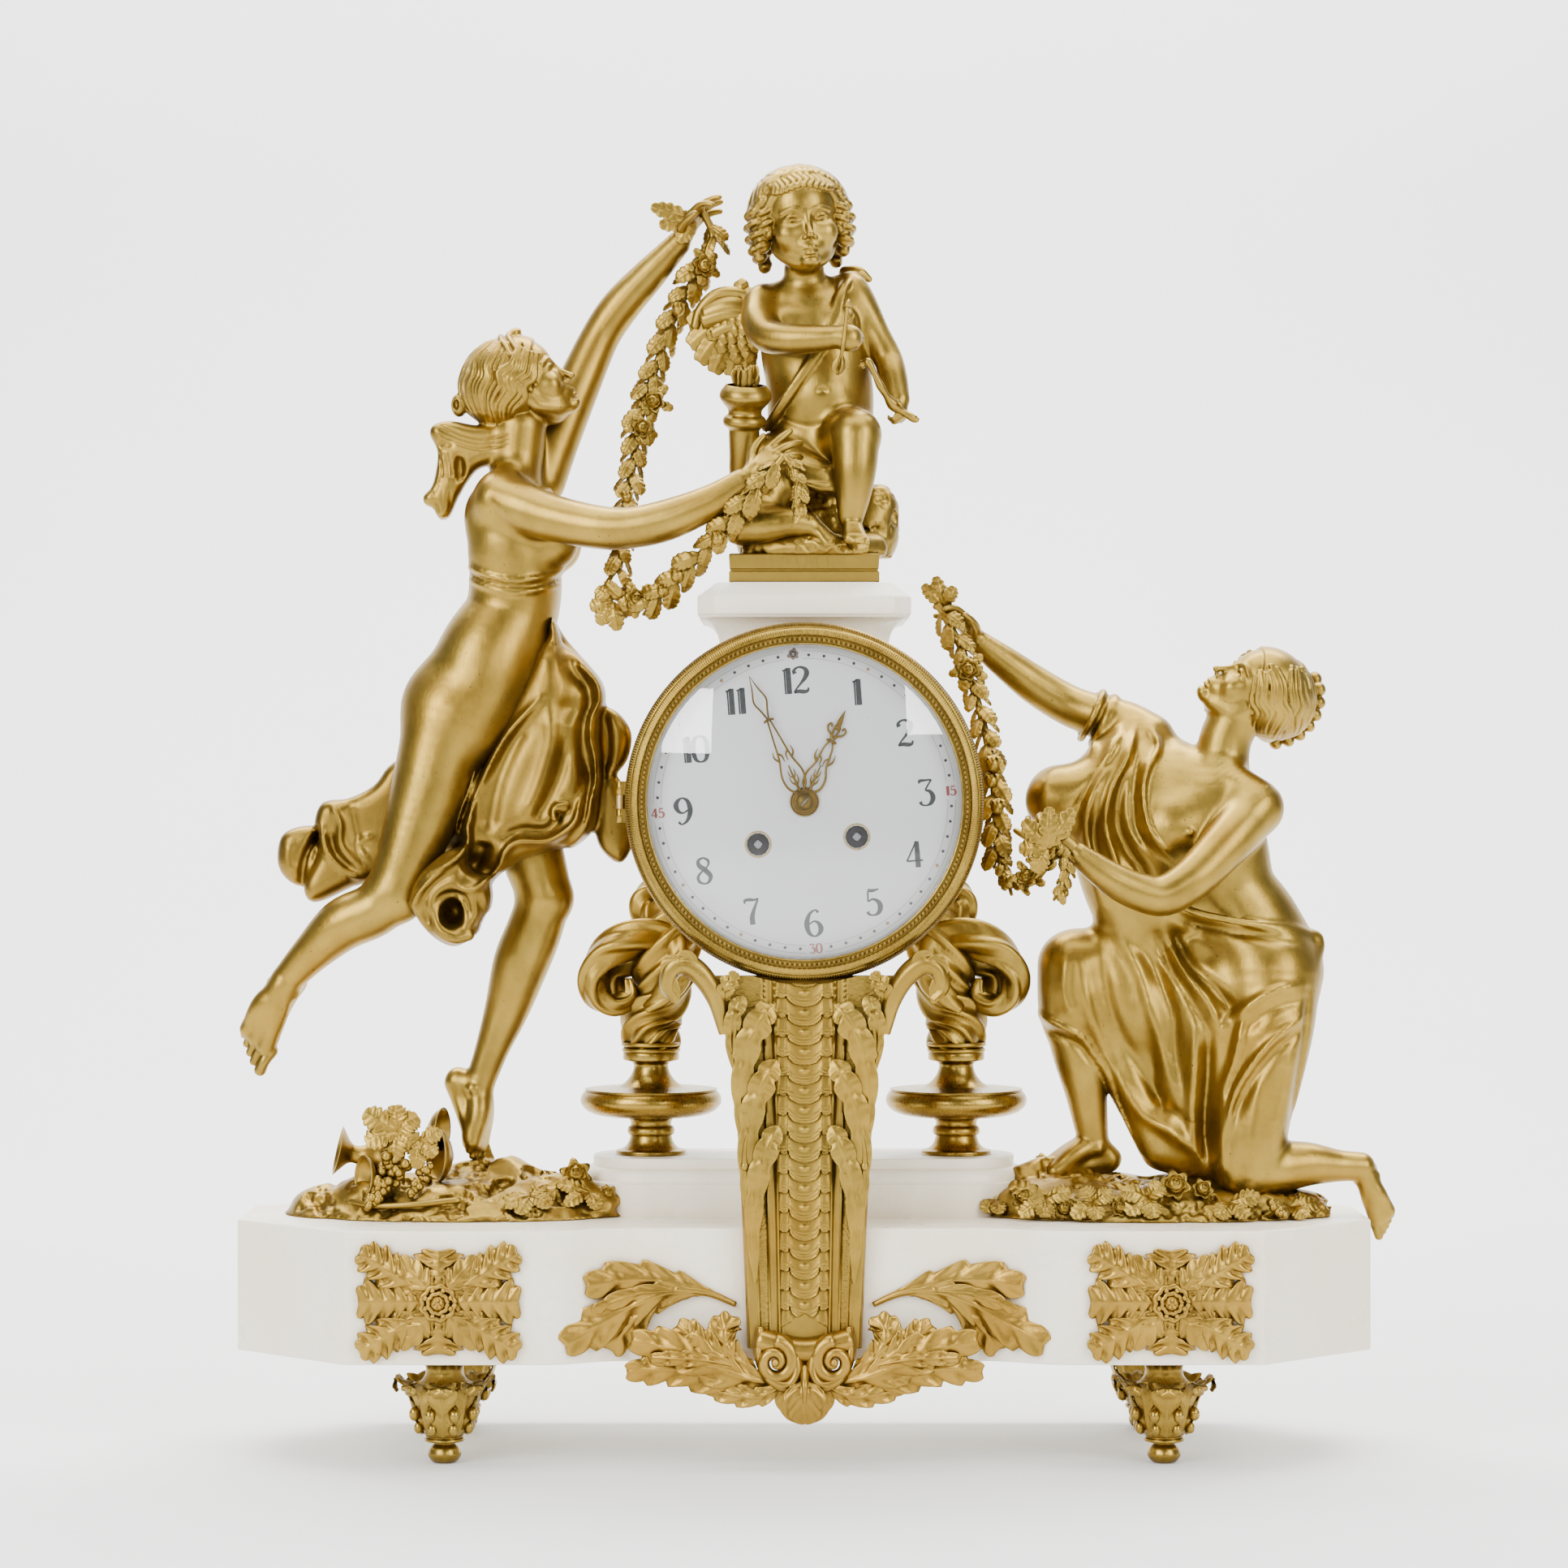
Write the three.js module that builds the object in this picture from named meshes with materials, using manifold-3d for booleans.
// Figural mantel clock: white marble and gilt bronze, drum movement, two nymphs and a cupid.
// Millimetres. X runs to the right as seen from the front, Y to the back and Z up.
// Origin: on the floor, under the middle of the whole clock.

import * as THREE from "three";
import { mergeVertices } from "three/addons/utils/BufferGeometryUtils.js";
import Module from "manifold-3d";

const wasm = await Module();
wasm.setup();

// ---------------------------------------------------------------- driving dimensions

const GAP = 0.3; // between two pieces that fit round each other
const WELD = 1e-4;
const ROUND = 36; // sides of the drum and of the rings round it

const BASE_BOTTOM = 49;
const BASE_TOP = 110;
const BASE_HALF_LENGTH = 265;
const CHAMFER_LENGTH = 55.5;
const FACE_Y = 80; // front faces of the two end blocks, and the back
const CHAMFER_DEPTH = 50;
const RECESS_Y = 67.5; // front face of the middle
const BLOCK_INNER_X = 122;
const RECESS_HALF_LENGTH = 80;

const PLINTH_TOP = 137;
const PLINTH_Y = 12;
const PLINTH_HALF_LENGTH = 106.5;
const PLINTH_HALF_DEPTH = 34.5;
const PLINTH_FILLET = 132;
const PLINTH_OVOLO = 126;
const PLINTH_STEP = 6;

const FOOT_X = 166.5;
const FOOT_Y = 49.5;
const PEDESTAL_X = 73;
const PEDESTAL_TOP = 186;

const DRUM_Z = 305.5;
const DRUM_RADIUS = 75;
const DRUM_WALL = 2.5;
const DRUM_FRONT = -62;
const DRUM_BACK = 55;
const BEZEL_RADIUS = 82;
const BEZEL_FRONT = -78;
const BEZEL_BACK = -66;
const GLASS_RADIUS = 72;
const DIAL_RADIUS = 73.5;
const DIAL_FRONT = -67.4;
const DIAL_BACK = -65.4;

const CAPITAL_TOP = 407.5;
const CUPID_PLINTH_TOP = 421;
const CUPID_PLINTH_HALF = 35;

const MOVEMENT_SLIP_DEG = 4.4; // the movement has turned anticlockwise in its case
const FRONT_PLATE = [-56, -54];
const BACK_PLATE = [-20, -18];
const PLATE_RADIUS = 50;
const WINDING_X = 22.7;
const WINDING_Z = -17.8;
const MINUTE_LENGTH = 62.7;
const HOUR_LENGTH = 46;
const MINUTE_ANGLE_DEG = -19.4; // clockwise from twelve, on the dial
const HOUR_ANGLE_DEG = 28.4;
const PENDULUM_LENGTH = 97;

// ---------------------------------------------------------------- materials

const gilt = { color: 0xb98a3c, roughness: 0.38, metalness: 1 };
const redGilt = { color: 0xc78a3f, roughness: 0.35, metalness: 1 };
const marble = { color: 0xece4d8, roughness: 0.32, metalness: 0 };
const brass = { color: 0xc9a552, roughness: 0.3, metalness: 1 };
const steel = { color: 0x8d9095, roughness: 0.35, metalness: 1 };
const enamel = { color: 0xf3f4f2, roughness: 0.12, metalness: 0 };
const clearGlass = { color: 0xeef4f4, roughness: 0.03, metalness: 0, transparent: true, opacity: 0.3 };
const bellMetal = { color: 0xb8a46a, roughness: 0.3, metalness: 1 };

// ---------------------------------------------------------------- solids

const vector = (p) => new THREE.Vector3(p[0], p[1], p[2]);
const degrees = THREE.MathUtils.degToRad;

// A closed geometry as a solid. A mirrored one is turned the right way out.
function solid(geometry) {
  const bare = geometry.index ? geometry.toNonIndexed() : geometry.clone();
  bare.deleteAttribute("normal");
  bare.deleteAttribute("uv");
  const merged = mergeVertices(bare, WELD);
  const index = merged.index.array;
  const corners = [];
  for (let i = 0; i < index.length; i += 3) {
    const [a, b, c] = [index[i], index[i + 1], index[i + 2]];
    if (a !== b && b !== c && c !== a) corners.push(a, b, c);
  }
  const points = merged.attributes.position.array;
  const build = (triVerts) =>
    new wasm.Manifold(new wasm.Mesh({ numProp: 3, vertProperties: points, triVerts }));
  const made = build(new Uint32Array(corners));
  return made.volume() >= 0 ? made : build(new Uint32Array(corners).reverse());
}

function geometryOf(made) {
  const mesh = made.getMesh();
  const geometry = new THREE.BufferGeometry();
  const points = new Float32Array(mesh.vertProperties);
  geometry.setAttribute("position", new THREE.BufferAttribute(points, 3));
  geometry.setIndex(new THREE.BufferAttribute(new Uint32Array(mesh.triVerts), 1));
  geometry.computeVertexNormals();
  return geometry;
}

const joined = (solids) => solids.reduce((whole, next) => whole.add(next));

// The largest body that a cut leaves.
function largest(made) {
  return made.decompose().reduce((best, next) => (next.volume() > best.volume() ? next : best));
}

// Points [r, z] turned about Z, at a place in plan.
function turned(profile, segments, x = 0, y = 0) {
  const points = profile.map(([r, z]) => new THREE.Vector2(r, z));
  const geometry = new THREE.LatheGeometry(points, segments);
  return solid(geometry.rotateX(Math.PI / 2).translate(x, y, 0));
}

// Points [r, y] turned about Y, about a centre in the front view.
function turnedFrontal(profile, segments, x = 0, z = 0) {
  const points = profile.map(([r, y]) => new THREE.Vector2(r, y));
  return solid(new THREE.LatheGeometry(points, segments).translate(x, 0, z));
}

function shapeOf(outline, holes = []) {
  const shape = new THREE.Shape(outline.map(([a, b]) => new THREE.Vector2(a, b)));
  for (const hole of holes) {
    shape.holes.push(new THREE.Path(hole.map(([a, b]) => new THREE.Vector2(a, b))));
  }
  return shape;
}

// A plan outline [x, y] raised from one height to another.
function raised(shape, bottom, top) {
  const options = { depth: top - bottom, bevelEnabled: false, curveSegments: 6 };
  return solid(new THREE.ExtrudeGeometry(shape, options).translate(0, 0, bottom));
}

// A front-view outline [x, z] given depth between two places along Y.
function frontal(outline, front, back, holes = []) {
  const options = { depth: back - front, bevelEnabled: false };
  const geometry = new THREE.ExtrudeGeometry(shapeOf(outline, holes), options);
  return solid(geometry.rotateX(Math.PI / 2).translate(0, back, 0));
}

function circle(x, z, radius, sides) {
  return Array.from({ length: sides }, (_, i) => {
    const turn = (2 * Math.PI * i) / sides;
    return [x + radius * Math.cos(turn), z + radius * Math.sin(turn)];
  });
}

const rod = (x, z, radius, front, back, sides = 10) =>
  frontal(circle(x, z, radius, sides), front, back);

// A limb with rounded ends through places [x, y, z, radius], as one closed skin.
function limb(points, grow = 0, sides = 6) {
  const centres = points.map(vector);
  const tangent = (i) => {
    const ahead = centres[Math.min(i + 1, centres.length - 1)];
    return ahead.clone().sub(centres[Math.max(i - 1, 0)]).normalize();
  };
  const rings = [];
  const ring = (centre, direction, radius) => rings.push({ centre, direction, radius });
  centres.forEach((centre, i) => {
    const radius = points[i][3] + grow;
    const direction = tangent(i);
    const shifted = (reach) => centre.clone().addScaledVector(direction, reach * radius);
    if (i === 0) ring(shifted(-0.7), direction, 0.72 * radius);
    ring(centre, direction, radius);
    if (i === centres.length - 1) ring(shifted(0.7), direction, 0.72 * radius);
  });
  const corners = [];
  let side = new THREE.Vector3(0, 1, 0);
  if (Math.abs(rings[0].direction.y) > 0.9) side = new THREE.Vector3(1, 0, 0);
  for (const { centre, direction, radius } of rings) {
    side = side.clone().addScaledVector(direction, -side.dot(direction)).normalize();
    const other = new THREE.Vector3().crossVectors(direction, side);
    corners.push(Array.from({ length: sides }, (_, k) => {
      const turn = (2 * Math.PI * k) / sides;
      return centre.clone().addScaledVector(side, radius * Math.cos(turn))
        .addScaledVector(other, radius * Math.sin(turn));
    }));
  }
  const pole = (end, sign, radius) =>
    centres[end].clone().addScaledVector(tangent(end), sign * radius);
  const first = pole(0, -1, points[0][3] + grow);
  const last = pole(centres.length - 1, 1, points.at(-1)[3] + grow);
  const faces = [];
  const face = (...three) => faces.push(...three.flatMap((p) => p.toArray()));
  for (let k = 0; k < sides; k += 1) {
    const next = (k + 1) % sides;
    face(first, corners[0][next], corners[0][k]);
    face(last, corners.at(-1)[k], corners.at(-1)[next]);
    for (let i = 0; i + 1 < corners.length; i += 1) {
      face(corners[i][k], corners[i][next], corners[i + 1][next]);
      face(corners[i][k], corners[i + 1][next], corners[i + 1][k]);
    }
  }
  const geometry = new THREE.BufferGeometry();
  return solid(geometry.setAttribute("position", new THREE.Float32BufferAttribute(faces, 3)));
}

// Limbs through named places: each entry of chains is a string of names.
function limbs(named, chains, grow = 0, sides = 6) {
  return joined(chains.map((chain) => limb(chain.split(" ").map((n) => named[n]), grow, sides)));
}

function flipped(points) {
  return points.map(([x, y, z, r]) => [-x, y, z, r]);
}

// ---------------------------------------------------------------- marble

function basePlan(grow = 0) {
  const half = BASE_HALF_LENGTH + grow;
  const face = FACE_Y + grow;
  const end = half - CHAMFER_LENGTH;
  const side = face - CHAMFER_DEPTH;
  const recess = RECESS_Y + grow;
  const inner = BLOCK_INNER_X - grow;
  const sweep = (inner - RECESS_HALF_LENGTH) / 2;
  const shape = new THREE.Shape();
  shape.moveTo(-half, -side);
  shape.lineTo(-end, -face);
  shape.lineTo(-inner, -face);
  shape.bezierCurveTo(
    -inner + sweep, -face, -RECESS_HALF_LENGTH - sweep, -recess, -RECESS_HALF_LENGTH, -recess,
  );
  shape.lineTo(RECESS_HALF_LENGTH, -recess);
  shape.bezierCurveTo(RECESS_HALF_LENGTH + sweep, -recess, inner - sweep, -face, inner, -face);
  shape.lineTo(end, -face);
  shape.lineTo(half, -side);
  shape.lineTo(half, side);
  shape.lineTo(end, face);
  shape.lineTo(-end, face);
  shape.lineTo(-half, side);
  return shape;
}

const marbleBase = raised(basePlan(), BASE_BOTTOM, BASE_TOP);

// A plan with straight sides and round ends.
function stadium(inset) {
  const radius = PLINTH_HALF_DEPTH - inset;
  const straight = PLINTH_HALF_LENGTH - PLINTH_HALF_DEPTH;
  const shape = new THREE.Shape();
  shape.moveTo(-straight, PLINTH_Y - radius);
  shape.lineTo(straight, PLINTH_Y - radius);
  shape.absarc(straight, PLINTH_Y, radius, -Math.PI / 2, Math.PI / 2);
  shape.lineTo(-straight, PLINTH_Y + radius);
  shape.absarc(-straight, PLINTH_Y, radius, Math.PI / 2, (3 * Math.PI) / 2);
  return shape;
}

const plinthBody = (inset) => raised(stadium(inset), BASE_TOP, PLINTH_OVOLO);
const marblePlinth = joined([
  plinthBody(0),
  raised(stadium(1.5), PLINTH_OVOLO, (PLINTH_OVOLO + PLINTH_FILLET) / 2),
  raised(stadium(4), (PLINTH_OVOLO + PLINTH_FILLET) / 2, PLINTH_FILLET),
  raised(stadium(PLINTH_STEP), PLINTH_FILLET, PLINTH_TOP),
]);

// The capital sits astride the drum: fascia, bevelled top and a hollow moulding below.
function marbleCapital() {
  const outline = [
    [-39, 352], [39, 352], [39.5, 377], [42, 385], [49.6, 392], [49.6, 400.6], [41.2, CAPITAL_TOP],
    [-41.2, CAPITAL_TOP], [-49.6, 400.6], [-49.6, 392], [-42, 385], [-39.5, 377],
  ];
  return frontal(outline, -53, 54).subtract(rod(0, DRUM_Z, DRUM_RADIUS + GAP, -70, 70, ROUND));
}

// ---------------------------------------------------------------- feet and turned pedestals

const FOOT_PROFILE = [
  [0, 0], [5.4, 0], [7.7, 3.7], [5.3, 8.4], [9.5, 10], [16, 23], [22, 34],
  [14.8, 35.5], [8.7, 42], [12, BASE_BOTTOM], [0, BASE_BOTTOM],
];

const foot = (x, y) => turned(FOOT_PROFILE, 12, x, y);

const PEDESTAL_PROFILE = [
  [0, PLINTH_TOP], [16.6, PLINTH_TOP], [16.6, 138.8], [11.5, 141.5], [9.8, 145.8], [11.2, 148.2],
  [9.8, 150.4], [13, 154.5], [28, 157], [33.7, 162], [30.9, 167.8], [15, 169.5], [8.6, 175],
  [8.8, 180], [13.4, 182], [13.4, PEDESTAL_TOP], [0, PEDESTAL_TOP],
];

const pedestal = (x) => turned(PEDESTAL_PROFILE, 16, x, PLINTH_Y);

// A twisted flame of smoke: it swells, swings outwards and turns back in under the drum.
const SMOKE = [
  [-73, 12, 193.5, 7], [-70, 12, 203, 12.5], [-75, 12, 214, 11], [-85, 12, 226, 12],
  [-88, 12, 240, 12], [-78, 12, 252, 10], [-66, 12, 258, 7],
];

function smokeScroll(points) {
  const foot0 = turned([[0, PEDESTAL_TOP], [12.8, PEDESTAL_TOP], [12.8, 189], [0, 189]], 14,
    points[0][0], PLINTH_Y);
  const flame = limb(points, 0, 10).add(foot0);
  return flame.subtract(rod(0, DRUM_Z, DRUM_RADIUS + GAP, -70, 70, ROUND));
}

// ---------------------------------------------------------------- gilt mounts on the marble

// An outline in the shape of a flower of leaves.
function leafRing(x, z, halfWidth, halfHeight, leaves, notch) {
  const steps = leaves * 4;
  return Array.from({ length: steps }, (_, i) => {
    const turn = (2 * Math.PI * i) / steps;
    const reach = 1 - notch * (0.5 - 0.5 * Math.cos(leaves * turn));
    return [x + halfWidth * reach * Math.cos(turn), z + halfHeight * reach * Math.sin(turn)];
  });
}

const ROSETTE_Z = 78;

function rosette(x) {
  const leaves = frontal(leafRing(x, ROSETTE_Z, 36.5, 23.3, 8, 0.3), -FACE_Y - 3.5, -FACE_Y);
  const button = turnedFrontal(
    [[0, -FACE_Y - 7], [6, -FACE_Y - 6], [9, -FACE_Y - 3], [9, -FACE_Y - 1], [0, -FACE_Y - 1]],
    12, x, ROSETTE_Z,
  );
  return leaves.add(button);
}

// A spray of pointed leaves that lies over the hollow between the middle and an end block.
function leafSpray(side) {
  const outline = [
    [-28.6, 72.5], [-52, 77.5], [-64, 84], [-76, 90.5], [-80, 87.5], [-92, 91.5], [-89, 84],
    [-103.6, 62.3], [-98, 60], [-88, 64], [-84.8, 60.4], [-76, 66], [-66, 73], [-50, 74.5],
  ].map(([x, z]) => [side * x, z]);
  const plate = frontal(outline, -FACE_Y - 2, -RECESS_Y + 2);
  const behind = raised(basePlan(GAP), BASE_BOTTOM - 1, BASE_TOP + 1);
  const frontPlan = basePlan(4);
  return plate.intersect(raised(frontPlan, BASE_BOTTOM - 1, BASE_TOP + 1)).subtract(behind);
}

// The central leaf pilaster, with a curled leaf at each upper corner.
const PILASTER_BACK = -RECESS_Y - GAP;
const PILASTER_FRONT = -76;

function leafPilaster() {
  const right = [[20, 47], [28, 60], [28, 87], [30, 143], [34.5, 200], [40, 217], [50, 224]];
  const outline = [
    ...right, [62, 225], [66, 213], [69, 214], [70, 224], [66, 232], [50, 233.5], [44, 229],
    [36, 226], [24, 222.8],
  ];
  const mirrored = outline.map(([x, z]) => [-x, z]).reverse();
  const panel = frontal([...outline, ...mirrored], PILASTER_FRONT, PILASTER_BACK);
  const spine = frontal([[-20, BASE_TOP + 2], [20, BASE_TOP + 2], [24, 218], [-24, 218]],
    PILASTER_BACK - 1, -58);
  return panel.add(spine);
}

// The scroll and leaves that hang below the foot of the pilaster.
function scrollApron() {
  const right = [
    [0, 24], [7, 29], [9, 38], [22, 38], [38, 41], [62, 46], [81, 50], [79, 57], [80, 63],
    [68, 67], [57, 65], [46, 60], [36, 66], [29, 68], [29, 58], [22, 53], [14, 62], [5, 61],
  ];
  const left = right.slice(1).map(([x, z]) => [-x, z]).reverse();
  const outline = [...right, [0, 55], ...left];
  return frontal(outline, -88, PILASTER_FRONT - GAP);
}

// ---------------------------------------------------------------- drum and bezels

const HINGE_X = -(BEZEL_RADIUS + 2.4);
const HINGE_Y = -67;
const HINGE_RADIUS = 2;
const REAR_HINGE_X = DRUM_RADIUS + 5;
const KNUCKLE = [296, 302.2, 308.8, 315]; // heights where the three knuckles of a hinge meet

// A tube with a flange in front and a stouter ring behind, which carries the rear door's hinge.
function drumCase() {
  const [outer, inner] = [DRUM_RADIUS, DRUM_RADIUS - DRUM_WALL];
  const tube = turnedFrontal([
    [inner, DRUM_FRONT], [outer + 4.5, DRUM_FRONT], [outer + 4.5, DRUM_FRONT + 3],
    [outer, DRUM_FRONT + 4], [outer, DRUM_BACK], [outer + 4, DRUM_BACK],
    [outer + 4, DRUM_BACK + 4], [inner - 5.5, DRUM_BACK + 4], [inner - 5.5, DRUM_BACK],
    [inner, DRUM_BACK], [inner, DRUM_FRONT],
  ], ROUND, 0, DRUM_Z);
  const knuckle = upright(REAR_HINGE_X, DRUM_BACK + 5.4, 1.8, KNUCKLE[1] + 0.2, KNUCKLE[2] - 0.2);
  const leaf = block([76, DRUM_BACK + 1.4, KNUCKLE[1] + 0.2], [REAR_HINGE_X, DRUM_BACK + 4,
    KNUCKLE[2] - 0.2]);
  return joined([tube, knuckle, leaf]);
}

// The fixed ring in front of the drum. It carries the dial and the middle knuckle of the hinge.
function dialRing() {
  const ring = turnedFrontal([
    [DIAL_RADIUS - 5, DIAL_BACK + 0.1], [DIAL_RADIUS + GAP, DIAL_BACK + 0.1],
    [DIAL_RADIUS + GAP, BEZEL_BACK + 0.3], [79, BEZEL_BACK + 0.3], [79, DRUM_FRONT - 0.1],
    [DIAL_RADIUS - 5, DRUM_FRONT - 0.1], [DIAL_RADIUS - 5, DIAL_BACK + 0.1],
  ], ROUND, 0, DRUM_Z);
  const middle = upright(HINGE_X, HINGE_Y, HINGE_RADIUS, KNUCKLE[1] + 0.2, KNUCKLE[2] - 0.2);
  const leaf = block([HINGE_X, HINGE_Y + 1.2, KNUCKLE[1] + 0.2], [-77, -63, KNUCKLE[2] - 0.2]);
  return joined([ring, middle, leaf]);
}

function upright(x, y, radius, bottom, top, sides = 10) {
  const profile = [[0, bottom], [radius, bottom], [radius, top], [0, top]];
  return turned(profile, sides, x, y);
}

function block(low, high) {
  const size = vector(high).sub(vector(low));
  const middle = vector(low).add(vector(high)).multiplyScalar(0.5);
  return solid(new THREE.BoxGeometry(size.x, size.y, size.z).translate(middle.x, middle.y, middle.z));
}

function frontBezel() {
  const ring = turnedFrontal([
    [GLASS_RADIUS + 2, BEZEL_BACK], [BEZEL_RADIUS, BEZEL_BACK], [BEZEL_RADIUS, BEZEL_FRONT + 4],
    [79.6, BEZEL_FRONT + 0.6], [76.2, BEZEL_FRONT], [72.6, BEZEL_FRONT + 2.4],
    [71.8, BEZEL_FRONT + 3.4], [GLASS_RADIUS + 2, BEZEL_FRONT + 3.9], [GLASS_RADIUS + 2, BEZEL_BACK],
  ], ROUND, 0, DRUM_Z);
  const knuckles = [[KNUCKLE[0], KNUCKLE[1]], [KNUCKLE[2], KNUCKLE[3]]].map(([bottom, top]) =>
    upright(HINGE_X, HINGE_Y, HINGE_RADIUS, bottom, top).add(
      block([HINGE_X, HINGE_Y - 1.8, bottom], [-80, HINGE_Y - 0.4, top]),
    ),
  );
  return joined([ring, ...knuckles]);
}

function bezelGlass() {
  const edge = BEZEL_FRONT + 4.2;
  return turnedFrontal([
    [0, edge - 6], [26, edge - 5.2], [50, edge - 2.8], [GLASS_RADIUS + 1.4, edge + 0.1],
    [GLASS_RADIUS + 1.4, edge + 1.9], [50, edge - 0.8], [26, edge - 3.3], [0, edge - 4.2],
  ], 30, 0, DRUM_Z);
}

function rearDoor() {
  const [front, back] = [DRUM_BACK + 4.3, DRUM_BACK + 6];
  const dished = turnedFrontal([
    [0, back + 1.5], [40, back + 1.2], [60, front + 0.2], [76.5, front], [76.5, back],
    [62, back + 0.4], [40, back + 2.8], [0, back + 3.1],
  ], ROUND, 0, DRUM_Z);
  const knuckles = [[KNUCKLE[0], KNUCKLE[1]], [KNUCKLE[2], KNUCKLE[3]]].map(([bottom, top]) =>
    upright(REAR_HINGE_X, DRUM_BACK + 5.4, 1.8, bottom, top).add(
      block([74, front + 0.3, bottom], [REAR_HINGE_X, front + 1.6, top]),
    ),
  );
  return joined([dished, ...knuckles]);
}

// ---------------------------------------------------------------- movement, in the dial's frame

const slip = degrees(MOVEMENT_SLIP_DEG);
const onDial = ([x, z]) => [
  x * Math.cos(slip) - z * Math.sin(slip),
  DRUM_Z + x * Math.sin(slip) + z * Math.cos(slip),
];
const from = ([x, z], distance, angle) => [
  x + distance * Math.cos(degrees(angle)),
  z + distance * Math.sin(degrees(angle)),
];
const heading = (a, b) => Math.atan2(b[1] - a[1], b[0] - a[0]);

const BARREL_TEETH = 60;
const BARREL_MODULE = 0.696;
const SECOND_MODULE = 0.6629;
const FLY_MODULE = 0.48;
const CENTRE_MODULE = 0.45;
const FINE_MODULE = 0.4;
const MOTION_MODULE = 0.5;
const HOUR_MODULE = 0.48;

const CENTRE = [0, 0];
const GOING = [WINDING_X, WINDING_Z];
const STRIKE = [-WINDING_X, WINDING_Z];
const INTERMEDIATE = [17.56, 6.0];
const THIRD = [-9.59, 14.7];
const ESCAPE = [0, 27];
const ANCHOR = [0, 38.5];
const MOTION = from(CENTRE, 12, 135);
const SECOND = from(STRIKE, 35 * BARREL_MODULE, 115);
const PIN = from(SECOND, 28 * SECOND_MODULE, 70);
const FLY = from(PIN, 27 * FLY_MODULE, 100);
const HAMMER = [-40, 14];
const BELL_POST = [36, -16];

// A wheel's outline with slender pointed teeth. A tooth, or a gap, faces the given direction.
function toothed(at, teeth, module, facing, gapFaces = false) {
  const pitch = (teeth * module) / 2;
  const [tip, root] = [pitch + 0.5 * module, pitch - 1.25 * module];
  const start = facing + (gapFaces ? Math.PI / teeth : 0);
  return Array.from({ length: 2 * teeth }, (_, i) => {
    const turn = start + (Math.PI * i) / teeth;
    const radius = i % 2 === 0 ? tip : root;
    return [at[0] + radius * Math.cos(turn), at[1] + radius * Math.sin(turn)];
  });
}

function wheel(at, teeth, module, facing, layer, gapFaces = false) {
  return frontal(toothed(at, teeth, module, facing, gapFaces), layer[0], layer[1]);
}

// An arbor with thin pivots that run in the two plates.
function arbor(at, radius = 1.1) {
  const pivot = rod(at[0], at[1], 0.7, FRONT_PLATE[0] + 0.2, BACK_PLATE[1] - 0.2, 5);
  return pivot.add(rod(at[0], at[1], radius, FRONT_PLATE[1] + 0.5, BACK_PLATE[0] - 0.5, 6));
}

const BARREL_WHEEL = [-32, -30];
const SECOND_WHEEL = [-28, -26.6];
const CENTRE_WHEEL = [-24.4, -23.2];
const THIRD_WHEEL = [-50, -48.8];
const ESCAPE_WHEEL = [-40, -38.8];
const PIN_WHEEL = [-46, -44.8];
const MINUTE_WORK = [-60.2, -58.8];
const HOUR_WORK = [-63, -61.6];

function barrel(at, next) {
  const teeth = toothed(at, BARREL_TEETH, BARREL_MODULE, heading(at, next));
  const drum = frontal(circle(at[0], at[1], 19.5, 18), -52, BARREL_WHEEL[0]);
  const great = frontal(teeth, BARREL_WHEEL[0], BARREL_WHEEL[1]);
  return drum.add(great).subtract(rod(at[0], at[1], 2.9, -53, -29, 10));
}

function windingArbor(at) {
  const square = frontal(
    circle(at[0], at[1], 2.1, 4), DIAL_FRONT + 0.6, FRONT_PLATE[0] - 0.3,
  );
  const ratchet = frontal(toothed(at, 18, 0.75, 0), FRONT_PLATE[0] - 2, FRONT_PLATE[0] - 0.4);
  const shaft = rod(at[0], at[1], 2.5, FRONT_PLATE[0] - 1, BACK_PLATE[1] - 0.2, 10);
  return joined([square, ratchet, shaft]);
}

function secondWheel(at, barrelAt, nextAt) {
  return joined([
    arbor(at),
    wheel(at, 10, BARREL_MODULE, heading(at, barrelAt), [-33, -29.2], true),
    wheel(at, 49, SECOND_MODULE, heading(at, nextAt), SECOND_WHEEL),
  ]);
}

// The centre arbor runs out through the dial and carries the minute hand.
function centreWheel() {
  return joined([
    rod(0, 0, 0.9, -73.4, BACK_PLATE[1] - 0.2, 8),
    rod(0, 0, 1.4, FRONT_PLATE[1] + 0.5, BACK_PLATE[0] - 0.5, 8),
    wheel(CENTRE, 7, SECOND_MODULE, heading(CENTRE, INTERMEDIATE), [-29.2, -25.6], true),
    wheel(CENTRE, 72, CENTRE_MODULE, heading(CENTRE, THIRD), CENTRE_WHEEL),
  ]);
}

// A pipe over the centre arbor, with the pinion that drives the motion work.
function cannonPinion() {
  const teeth = toothed(CENTRE, 12, MOTION_MODULE, heading(CENTRE, MOTION));
  return frontal(teeth, MINUTE_WORK[0], MINUTE_WORK[1])
    .add(rod(0, 0, 1.6, -71.6, -57, 10))
    .subtract(rod(0, 0, 1.15, -80, -50, 10));
}

function minuteWheel() {
  return joined([
    rod(MOTION[0], MOTION[1], 0.8, HOUR_WORK[0], FRONT_PLATE[0] - 0.4, 8),
    wheel(MOTION, 36, MOTION_MODULE, heading(MOTION, CENTRE), MINUTE_WORK, true),
    wheel(MOTION, 10, HOUR_MODULE, heading(MOTION, CENTRE), HOUR_WORK),
  ]);
}

function hourWheel() {
  return wheel(CENTRE, 40, HOUR_MODULE, heading(CENTRE, MOTION), HOUR_WORK, true)
    .add(rod(0, 0, 2.7, -69.6, HOUR_WORK[0], 12))
    .subtract(rod(0, 0, 1.9, -75, -55, 12));
}

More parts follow.
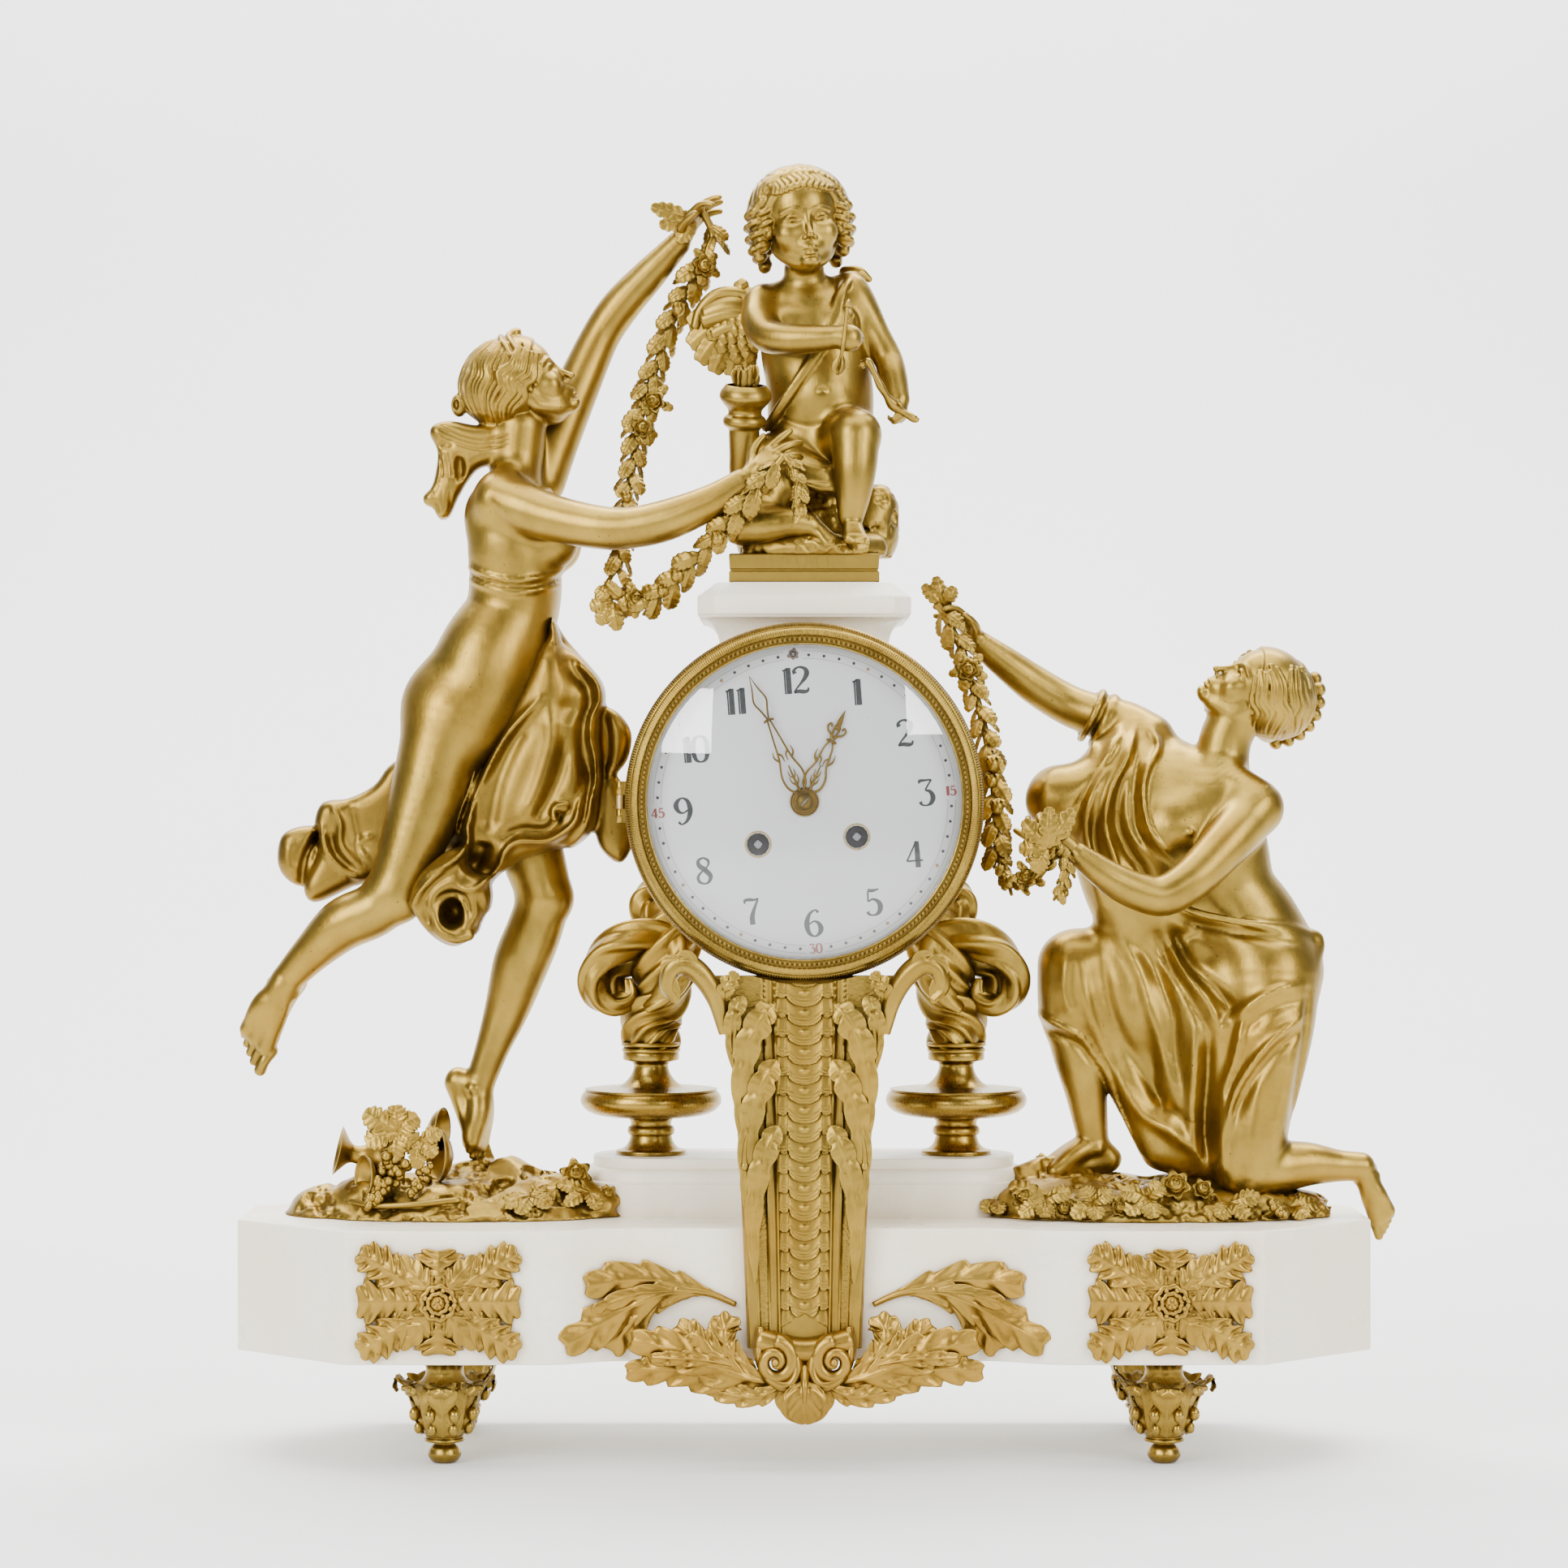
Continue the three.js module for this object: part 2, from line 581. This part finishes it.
function thirdWheel() {
  return joined([
    arbor(THIRD),
    wheel(THIRD, 6, CENTRE_MODULE, heading(THIRD, CENTRE), [-25.6, -22], true),
    wheel(THIRD, 72, FINE_MODULE, heading(THIRD, ESCAPE), THIRD_WHEEL),
  ]);
}

function escapeWheel() {
  return joined([
    arbor(ESCAPE, 0.95),
    wheel(ESCAPE, 6, FINE_MODULE, heading(ESCAPE, THIRD), [-51.2, -47.6], true),
    wheel(ESCAPE, 40, 0.44, Math.PI / 2, ESCAPE_WHEEL),
  ]);
}

function pinWheel() {
  const parts = [
    arbor(PIN),
    wheel(PIN, 7, SECOND_MODULE, heading(PIN, SECOND), [-29.2, -25.6], true),
    wheel(PIN, 48, FLY_MODULE, heading(PIN, FLY), PIN_WHEEL),
  ];
  for (let i = 0; i < 6; i += 1) {
    const [x, z] = from(PIN, 9, 60 * i);
    parts.push(rod(x, z, 0.6, PIN_WHEEL[0] + 0.2, PIN_WHEEL[1] + 2.5, 6));
  }
  return joined(parts);
}

// A fly: a fan that holds back the speed of the strike.
function strikeFly() {
  const [x, z] = FLY;
  return joined([
    arbor(FLY, 0.95),
    wheel(FLY, 6, FLY_MODULE, heading(FLY, PIN), [-47.2, -43.6], true),
    block([x - 7.5, -40, z - 0.4], [x + 7.5, -29, z + 0.4]),
  ]);
}

// The anchor rocks over the escape wheel. Its crutch hangs plumb behind the back plate.
function anchor() {
  const [x, z] = ANCHOR;
  const arms = frontal([
    [x - 1.6, z + 1.6], [x - 8.6, z - 3.2], [x - 8.6, z - 4.8], [x - 7.6, z - 4.8], [x - 6.6, z - 3.4],
    [x, z - 0.9], [x + 6.6, z - 3.4], [x + 7.6, z - 4.8], [x + 8.6, z - 4.8], [x + 8.6, z - 3.2],
    [x + 1.6, z + 1.6],
  ], ESCAPE_WHEEL[0], ESCAPE_WHEEL[1]);
  const pivot = rod(x, z, 0.8, FRONT_PLATE[0] + 0.2, BACK_PLATE[1] + 2.6, 8);
  const [dx, dz] = [-Math.sin(slip), -Math.cos(slip)];
  const at = (d, y, r) => [x + d * dx, y, z + d * dz, r];
  const crutch = limb([at(0, -16.8, 0.9), at(27, -16.8, 0.8), at(27, -14.2, 0.7)], 0, 6);
  return joined([arms, pivot, crutch]);
}

function platePins(holes, layer, radius = PLATE_RADIUS) {
  return frontal(circle(0, 0, radius, 28), layer[0], layer[1], holes);
}

const PILLARS = [[36, 30], [-16, 45], [-2, -46.5], [46.5, -2]];
const pivotHole = (at, radius = 1) => circle(at[0], at[1], radius, 6);
const TRAIN = [INTERMEDIATE, THIRD, ESCAPE, ANCHOR, SECOND, PIN, FLY];

function frontPlate() {
  const holes = [
    ...TRAIN.map((at) => pivotHole(at)), pivotHole(CENTRE, 1.9),
    pivotHole(GOING, 2.9), pivotHole(STRIKE, 2.9), ...PILLARS.map((at) => pivotHole(at, 1.8)),
  ];
  return platePins(holes, FRONT_PLATE);
}

// The back plate carries the pillars and, high up, the cock that the pendulum hangs from.
function backPlate() {
  const holes = [
    ...TRAIN.map((at) => pivotHole(at, 1.1)), pivotHole(CENTRE, 1.3),
    pivotHole(GOING, 2.9), pivotHole(STRIKE, 2.9), pivotHole(HAMMER, 1.6),
  ];
  const [top, depth] = [ANCHOR[1] + 4.2, 8.5];
  const cock = block([-5, BACK_PLATE[1] - 0.5, top], [5, BACK_PLATE[1] + depth, top + 6]);
  const pillars = PILLARS.map(([x, z]) =>
    rod(x, z, 2.6, FRONT_PLATE[1] + 0.1, BACK_PLATE[0] + 0.5, 10).add(
      rod(x, z, 1.4, FRONT_PLATE[0] - 1.2, FRONT_PLATE[1] + 1, 8),
    ),
  );
  return joined([platePins(holes, BACK_PLATE), cock, ...pillars]);
}

// The enamel dial, with two winding holes and one for the regulator above.
function dialPlate() {
  const holes = [
    circle(WINDING_X, WINDING_Z, 5.2, 14), circle(-WINDING_X, WINDING_Z, 5.2, 14),
    circle(0, 0, 3.3, 12), circle(0, 68, 1.6, 8),
  ];
  return frontal(circle(0, 0, DIAL_RADIUS - 0.4, ROUND), DIAL_FRONT, DIAL_BACK, holes);
}

// An openwork hand: a ring at the pipe, a stem, a pierced lozenge and a point.
function hand(length, bore, front, back, angle) {
  const stem = (r) => [
    [1.2, 4], [1, r * 0.42], [3.4, r * 0.55], [3.9, r * 0.66], [1.1, r * 0.82], [0.35, r],
  ];
  const right = stem(length);
  const left = right.map(([x, z]) => [-x, z]).reverse();
  const eye = [
    [0, length * 0.49], [1.9, length * 0.58], [2, length * 0.66], [0, length * 0.76],
    [-2, length * 0.66], [-1.9, length * 0.58],
  ];
  const pointer = frontal([...right, ...left], front, back, [eye]);
  const ring = rod(0, 0, 4.6, front, back, 16);
  const geometry = geometryOf(pointer.add(ring).subtract(rod(0, 0, bore, front - 1, back + 1, 12)));
  return solid(geometry.rotateY(degrees(angle)));
}

const handCollet = () =>
  turnedFrontal([[1.1, -72.1], [5.6, -72.1], [4.4, -73.2], [1.1, -73.6], [1.1, -72.1]], 14);

// ---------------------------------------------------------------- pendulum, bell and hammer

const PENDULUM_Y = -11.6;

function pendulum() {
  const [x, top] = onDial(ANCHOR);
  const bob = top - PENDULUM_LENGTH;
  return joined([
    block([x - 2, PENDULUM_Y - 0.4, top - 12], [x + 2, PENDULUM_Y + 0.4, top + 3.6]),
    upright(x, PENDULUM_Y, 0.9, bob - 12.6, top - 11, 8),
    turnedFrontal([
      [0, PENDULUM_Y - 3.2], [7, PENDULUM_Y - 2.4], [9.5, PENDULUM_Y], [7, PENDULUM_Y + 2.4],
      [0, PENDULUM_Y + 3.2],
    ], 20, x, bob),
    upright(x, PENDULUM_Y, 2, bob - 11.8, bob - 9.8, 8),
  ]);
}

const BELL_AT = [0, -8];
const BELL_RADIUS = 30;

function bell() {
  const shell = [
    [BELL_RADIUS, 1], [28, 12], [16, 18.8], [1.9, 20], [1.9, 21.4], [16.6, 20.4],
    [29.4, 13], [BELL_RADIUS + 1.4, 1], [BELL_RADIUS, 1],
  ];
  return turnedFrontal(shell, 22, BELL_AT[0], BELL_AT[1]);
}

function bellStand() {
  const [x, z] = BELL_POST;
  const [bx, bz] = BELL_AT;
  const arm = limb([[x, 24, z, 1.8], [bx, 24, bz, 1.8]], 0, 6);
  return joined([
    rod(x, z, 1.8, BACK_PLATE[1] + 0.2, 24, 8), arm, rod(bx, bz, 1.5, 15, 25, 8),
    rod(bx, bz, 3, 16.5, 19, 6),
  ]);
}

function hammer() {
  const [x, z] = HAMMER;
  return joined([
    rod(x, z, 1.2, BACK_PLATE[0] - 1, 8, 8),
    limb([[x, 6, z, 1.3], [x + 2.4, 6, BELL_AT[1], 1.3]], 0, 6),
    rod(x + 2.4, BELL_AT[1], 3.4, 1, 11, 12),
  ]);
}

// ---------------------------------------------------------------- figures

// Named places [x, y, z, radius] down each body.
const LEFT = {
  toeFar: [-140.2, 2, 131, 3.6], ballFar: [-146.4, 4, 136.1, 6.2], ankleFar: [-158.2, 8, 165.7, 7.4],
  heelFar: [-169, 9, 161.5, 6.6], calfFar: [-148, 8, 222, 12.6], kneeFar: [-124.7, 6, 258, 13.5],
  hipFar: [-148.1, 8, 343.1, 22], hipNear: [-167, -12, 349.7, 23], kneeNear: [-192, -22, 258, 14],
  calfNear: [-215.9, -20, 239.6, 13.4], ankleNear: [-249.9, -14, 214.5, 7.4],
  heelNear: [-257.5, -12, 219, 6.4], ballNear: [-266, -14, 189, 6], toeNear: [-271, -14, 176.5, 3.6],
  pelvis: [-160.1, -2, 358.4, 28], waist: [-142, 0, 396.3, 20.5], ribs: [-138.3, 0, 420.2, 23.5],
  chest: [-137, 0, 439.5, 24], neckLow: [-134, 0, 462, 10], neckTop: [-130, -1, 482, 9.2],
  skull: [-138.6, -1, 500, 20.5], brow: [-129, -2, 506, 17.5], bun: [-163, 0, 492, 11.5],
  lock: [-168, 2, 462, 8], lockEnd: [-166, 2, 438, 5],
  shoulderNear: [-144.2, -20, 448.5, 12.5], elbowNear: [-81.4, -44, 432.8, 9.4],
  wristNear: [-28.5, -52, 454, 6.2], handNear: [-14, -54, 466, 5],
  shoulderFar: [-125.7, 18, 463, 11], elbowFar: [-95.8, 26, 533.1, 9],
  wristFar: [-60.1, 20, 573.4, 6], handFar: [-49.5, 18, 588.5, 5.2],
};
const LEFT_CHAINS = [
  "pelvis hipFar kneeFar calfFar ankleFar", "heelFar ballFar toeFar",
  "pelvis hipNear kneeNear calfNear ankleNear ballNear toeNear",
  "pelvis waist ribs chest neckLow neckTop skull", "brow bun lock lockEnd",
  "chest shoulderNear elbowNear wristNear handNear",
  "chest shoulderFar elbowFar wristFar handFar",
];

const RIGHT = {
  kneeNear: [204, -20, 133, 16], hipNear: [220.6, -16, 226, 26], calfNear: [236, -16, 133, 13],
  ankleNear: [255.9, -12, 129.3, 8], heelNear: [267.4, -12, 133, 6], toeNear: [272.4, -12, 101, 3.2],
  hipFar: [209.8, 12, 226.6, 26], kneeFar: [133.5, 8, 227, 17], calfFar: [134.6, 7, 188.2, 12.5],
  ankleFar: [137.3, 5, 147.7, 7.4], heelFar: [144, 7, 138, 6.5], toeFar: [113, 0, 129.5, 4],
  pelvis: [217.6, -2, 232, 30], waist: [203.5, 0, 263.9, 23], ribs: [193, 0, 286, 25],
  chest: [187, 0, 306.4, 25], neckLow: [194, 0, 322, 10.5], neckTop: [203, -1, 336, 9.5],
  skull: [217, -1, 353, 20.5], brow: [208, -2, 360, 17.5], bun: [238, 0, 352, 10],
  shoulderNear: [210, -22, 302, 12], elbowNear: [163.7, -42, 260.1, 8], wristNear: [129.3, -48, 276.5, 5.3],
  handNear: [116, -46, 288.5, 5], shoulderFar: [176, 18, 328, 12], elbowFar: [128.3, 26, 350.5, 8],
  wristFar: [85, 20, 381, 5.3], handFar: [71, 17, 399, 5],
  skirtLow: [214, -14, 152, 27], skirtFar: [168, 4, 205, 22],
};
const RIGHT_CHAINS = [
  "hipNear kneeNear", "kneeNear calfNear ankleNear heelNear", "heelNear toeNear",
  "pelvis hipFar kneeFar calfFar ankleFar", "heelFar toeFar", "pelvis skirtLow",
  "hipNear skirtFar kneeFar", "pelvis waist ribs chest neckLow neckTop skull", "brow bun",
  "chest shoulderNear elbowNear wristNear handNear",
  "chest shoulderFar elbowFar wristFar handFar",
];

const CUPID = {
  head: [-1, -17, 579.5, 20], crown: [-1, -17, 586, 18.5], neck: [0.6, -14, 553, 8.5],
  chest: [2.9, -12, 534, 16.5], belly: [6.7, -12, 502, 16.5], pelvis: [8.3, -10, 478, 16],
  shoulderRight: [-19, -15, 538, 8.6], elbowRight: [-17, -32, 519, 6.8], handRight: [21, -45, 519.6, 5],
  shoulderLeft: [23, -12, 546, 8.6], elbowLeft: [41, -16, 518, 6.6], handLeft: [43.6, -26, 492, 5],
  hipLeft: [17, -14, 472, 12.5], kneeLeft: [23.7, -44, 472, 9.5], ankleLeft: [21.9, -40, 440, 5.8],
  toeLeft: [22.9, -50, 429.5, 4], hipRight: [-2.1, -14, 470, 12.5], kneeRight: [-27.5, -36, 438, 9.5],
  ankleRight: [2.5, -37, 431.3, 5.6], toeRight: [10, -36, 426.5, 4],
};
const CUPID_CHAINS = [
  "crown head neck chest belly pelvis", "pelvis hipLeft kneeLeft ankleLeft toeLeft",
  "pelvis hipRight kneeRight ankleRight toeRight", "chest shoulderRight elbowRight handRight",
  "chest shoulderLeft elbowLeft handLeft",
];

const nymphLeft = (grow = 0) => limbs(LEFT, LEFT_CHAINS, grow);
const nymphRight = (grow = 0) => limbs(RIGHT, RIGHT_CHAINS, grow);
const cupid = (grow = 0) => limbs(CUPID, CUPID_CHAINS, grow);

const drumCut = () =>
  rod(0, DRUM_Z, DRUM_RADIUS + GAP, -60, 60, ROUND).add(rod(0, DRUM_Z, 79.5 + GAP, -66, -57.5, ROUND));

// Cloth that streams from the drum's side, round the left nymph's hips and out behind her.
const DRAPERY = [
  [-86, -8, 338, 7], [-104, -24, 312, 13], [-133, -32, 300, 15], [-166, -34, 276, 17],
  [-184, -30, 262, 12], [-205, -32, 290, 15], [-236, -14, 292, 12],
];
const DRAPERY_BEHIND = [
  [-166, -34, 276, 17], [-160, 22, 290, 15], [-196, 22, 305, 14], [-236, 6, 292, 12],
  [-205, -32, 290, 15],
];

function leftDrapery() {
  const cloth = limb(DRAPERY).add(limb(DRAPERY_BEHIND));
  return largest(cloth.subtract(nymphLeft(GAP)).subtract(drumCut()));
}

// Rough ground with an oval foot, flowers and fruit.
function ground(x, y, halfLength, halfDepth, height, lumps) {
  const rings = 18;
  const outline = (scale) =>
    Array.from({ length: rings }, (_, i) => {
      const turn = (2 * Math.PI * i) / rings;
      const wave = scale * (1 + 0.05 * Math.cos(3 * turn) + 0.04 * Math.sin(5 * turn));
      return [x + halfLength * wave * Math.cos(turn), y + halfDepth * wave * Math.sin(turn)];
    });
  const low = raised(shapeOf(outline(0.94)), BASE_TOP, BASE_TOP + height * 0.55);
  const high = raised(shapeOf(outline(0.74)), BASE_TOP + 0.5, BASE_TOP + height);
  const body = joined([low, high, ...lumps.map((lump) => limb(lump, 0, 7))]);
  const floor = block([x - 200, y - 90, BASE_TOP - 30], [x + 200, y + 90, BASE_TOP]);
  const plinth = raised(stadium(-GAP), BASE_TOP - 1, PLINTH_TOP + 5);
  return body.subtract(floor).subtract(plinth);
}

const LEFT_LUMPS = [
  [[-116, -18, 120, 8], [-118, -16, 127, 7.5]],
  [[-222, -16, 122, 9], [-205, -20, 118, 8]],
  [[-190, -24, 120, 9], [-176, -24, 122, 8]],
  [[-170, -6, 122, 3], [-171, -6, 146, 2.4]],
  [[-240, -6, 116, 6], [-232, 8, 118, 6]],
];
const RIGHT_LUMPS = [
  [[176, -34, 118, 8], [190, -34, 119, 7.5]],
  [[102, -16, 117, 7.5], [112, -16, 119, 7]],
  [[100, -4, 124, 5], [108, 2, 126, 7]],
  [[226, -24, 115, 7], [240, -14, 114, 6]],
];

function groundLeft() {
  const rough = ground(-160.7, -3, 84, 40, 16, LEFT_LUMPS);
  return largest(rough.subtract(nymphLeft(GAP)));
}

function groundRight() {
  const rough = ground(166, -4, 83, 46, 13, RIGHT_LUMPS);
  return largest(rough.subtract(nymphRight(GAP)));
}

// Garlands of roses and leaves: the same string of places, thicker where a rose sits.
const GARLAND_LEFT = [
  [-47.5, 20, 584, 6], [-43.6, 22, 572.5, 6], [-54.5, 22, 553, 8], [-63.9, 22, 534, 6],
  [-73.2, 20, 507, 8.5], [-78.6, 16, 487, 6], [-82.2, 10, 463, 6], [-85.8, 0, 440, 6],
  [-87.8, -8, 416, 6], [-86, -14, 401, 7.5], [-74.7, -18, 398, 6], [-61.6, -26, 407, 6],
  [-48.5, -38, 420, 6], [-35, -50, 434, 5.5], [-22, -58, 450, 5], [-9, -63, 464, 5],
  [-3.3, -64, 452, 4.5], [-2.3, -64, 440, 3],
];
const GARLAND_RIGHT = [
  [66, 10, 397, 5.5], [73.5, 8, 382, 6], [79, 0, 366, 5.5], [84, -8, 346, 7.5], [88, -18, 324, 5.5],
  [90, -24, 301, 6], [90, -28, 282, 5.5], [95, -36, 267, 5.5], [108, -49, 270, 5.5],
  [114, -54, 284, 5.5], [117, -57, 263, 4],
];

function garlandLeft() {
  const string = limb(GARLAND_LEFT, 0, 6);
  return largest(string.subtract(nymphLeft(GAP)).subtract(cupid(GAP)));
}

const garlandRight = () => largest(limb(GARLAND_RIGHT, 0, 6).subtract(nymphRight(GAP)));

// ---------------------------------------------------------------- the cupid's seat and gear

function cupidPlinth() {
  const half = CUPID_PLINTH_HALF;
  const slab = block([-half, -45, CAPITAL_TOP], [half, 25, CUPID_PLINTH_TOP]);
  const rocks = [
    [[22, -34, 421, 12], [26, -20, 426, 12]], [[34, -4, 428, 12], [37, -2, 452, 10]],
    [[6, 0, 428, 14], [8, 2, 452, 13]], [[-20, -28, 419, 9], [-8, -26, 421, 8]],
  ].map((lump) => limb(lump, 0, 7));
  const mound = joined([slab, ...rocks]);
  const beneath = block([-60, -60, 380], [60, 60, CAPITAL_TOP]);
  return largest(mound.subtract(beneath).subtract(cupid(GAP)));
}

function quiver() {
  const tube = limb([[-27.2, -33, 505, 7.5], [-28.9, -23, 458, 5]], 0, 8);
  const mouth = limb([[-27.4, -34, 498, 9], [-27.2, -34, 508, 8.4]], 0, 8);
  return largest(tube.add(mouth).subtract(cupid(GAP)).subtract(cupidPlinth()));
}

// A pair of short wings on the cupid's shoulder blades. His right one is spread and his left one
// is folded back.
function wings() {
  const wing = [
    [-14, 530], [-24, 538], [-44, 552], [-53, 546], [-55, 532], [-50, 520], [-40, 514], [-26, 520],
  ];
  const hinge = [20, 9];
  const folded = wing.map(([x, z]) => [-14 - x, z]).reverse();
  const plates = [
    frontal(wing, 5.5, 10),
    frontal(folded, -2.2, 2.2).rotate([0, 0, 78]).translate([hinge[0], hinge[1], 0]),
  ];
  const root = limb([[-18, 8, 532, 5], [3, 6, 533, 6], [hinge[0] + 1, 8, 532, 5]], 0, 8);
  return joined([...plates, root]).subtract(cupid(GAP));
}

// What is left of the bow: the grip and the start of one limb.
function bow() {
  return limb([
    [27, -40, 509, 1.6], [30, -42, 509.5, 2], [36, -40, 498, 2.2], [42.5, -34, 490, 2.6], [52, -32, 484, 2],
  ], 0, 8).subtract(cupid(GAP));
}

// The arrow stands upright in the cupid's right hand.
function arrow() {
  return limb([[15.5, -49, 503, 2.2], [17, -51, 511, 1.3], [18, -52.5, 520, 1.2], [20, -49, 536, 0.8]], 0, 6)
    .subtract(cupid(GAP));
}

// ---------------------------------------------------------------- assembly

const clock = new THREE.Group();
const assembly = new THREE.Group();
const movement = new THREE.Group();
movement.position.set(0, 0, DRUM_Z);
movement.rotation.y = -slip;
assembly.add(movement);
clock.add(assembly);

function place(name, made, look, group = assembly) {
  const mesh = new THREE.Mesh(geometryOf(made), new THREE.MeshStandardMaterial(look));
  mesh.name = name;
  group.add(mesh);
}

place("marble_base", marbleBase, marble);
place("marble_plinth", marblePlinth, marble);
place("marble_capital", marbleCapital(), marble);
for (const [depth, y] of [["front", -FOOT_Y], ["rear", FOOT_Y]]) {
  place(`foot_${depth}_left`, foot(-FOOT_X, y), gilt);
  place(`foot_${depth}_right`, foot(FOOT_X, y), gilt);
}
for (const [side, sign] of [["left", -1], ["right", 1]]) {
  place(`rosette_${side}`, rosette(sign * FOOT_X), redGilt);
  place(`leaf_spray_${side}`, leafSpray(-sign), redGilt);
  place(`pedestal_${side}`, pedestal(sign * PEDESTAL_X), gilt);
  place(`smoke_scroll_${side}`, smokeScroll(sign < 0 ? SMOKE : flipped(SMOKE)), gilt);
}
place("leaf_pilaster", leafPilaster(), gilt);
place("scroll_apron", scrollApron(), redGilt);

place("drum_case", drumCase(), gilt);
place("dial_ring", dialRing(), brass);
place("front_bezel", frontBezel(), gilt);
place("bezel_glass", bezelGlass(), clearGlass);
place("rear_door", rearDoor(), brass);

place("dial", dialPlate(), enamel, movement);
place("minute_hand", hand(MINUTE_LENGTH, 1.7, -71.8, -71, MINUTE_ANGLE_DEG), brass, movement);
place("hour_hand", hand(HOUR_LENGTH, 2.8, -69.6, -68.8, HOUR_ANGLE_DEG), brass, movement);
place("hand_collet", handCollet(), brass, movement);
place("front_plate", frontPlate(), brass, movement);
place("back_plate", backPlate(), brass, movement);
place("going_barrel", barrel(GOING, INTERMEDIATE), brass, movement);
place("strike_barrel", barrel(STRIKE, SECOND), brass, movement);
place("going_winding_arbor", windingArbor(GOING), steel, movement);
place("strike_winding_arbor", windingArbor(STRIKE), steel, movement);
place("intermediate_wheel", secondWheel(INTERMEDIATE, GOING, CENTRE), brass, movement);
place("centre_wheel", centreWheel(), brass, movement);
place("third_wheel", thirdWheel(), brass, movement);
place("escape_wheel", escapeWheel(), brass, movement);
place("cannon_pinion", cannonPinion(), steel, movement);
place("minute_wheel", minuteWheel(), brass, movement);
place("hour_wheel", hourWheel(), brass, movement);
place("anchor", anchor(), steel, movement);
place("strike_second_wheel", secondWheel(SECOND, STRIKE, PIN), brass, movement);
place("strike_pin_wheel", pinWheel(), brass, movement);
place("strike_fly", strikeFly(), brass, movement);
place("bell", bell(), bellMetal, movement);
place("bell_stand", bellStand(), steel, movement);
place("hammer", hammer(), steel, movement);
place("pendulum", pendulum(), brass);

place("nymph_left", nymphLeft(), gilt);
place("drapery_left", leftDrapery(), gilt);
place("ground_left", groundLeft(), gilt);
place("garland_left", garlandLeft(), gilt);
place("nymph_right", nymphRight(), gilt);
place("ground_right", groundRight(), gilt);
place("garland_right", garlandRight(), gilt);
place("cupid", cupid(), gilt);
place("cupid_plinth", cupidPlinth(), gilt);
place("cupid_quiver", quiver(), gilt);
place("cupid_wings", wings(), gilt);
place("cupid_bow", bow(), gilt);
place("cupid_arrow", arrow(), gilt);

// The clock is centred over the origin.
clock.updateMatrixWorld(true);
const extent = new THREE.Box3().setFromObject(clock, true);
assembly.position.set(-(extent.min.x + extent.max.x) / 2, -(extent.min.y + extent.max.y) / 2, 0);

export default clock;
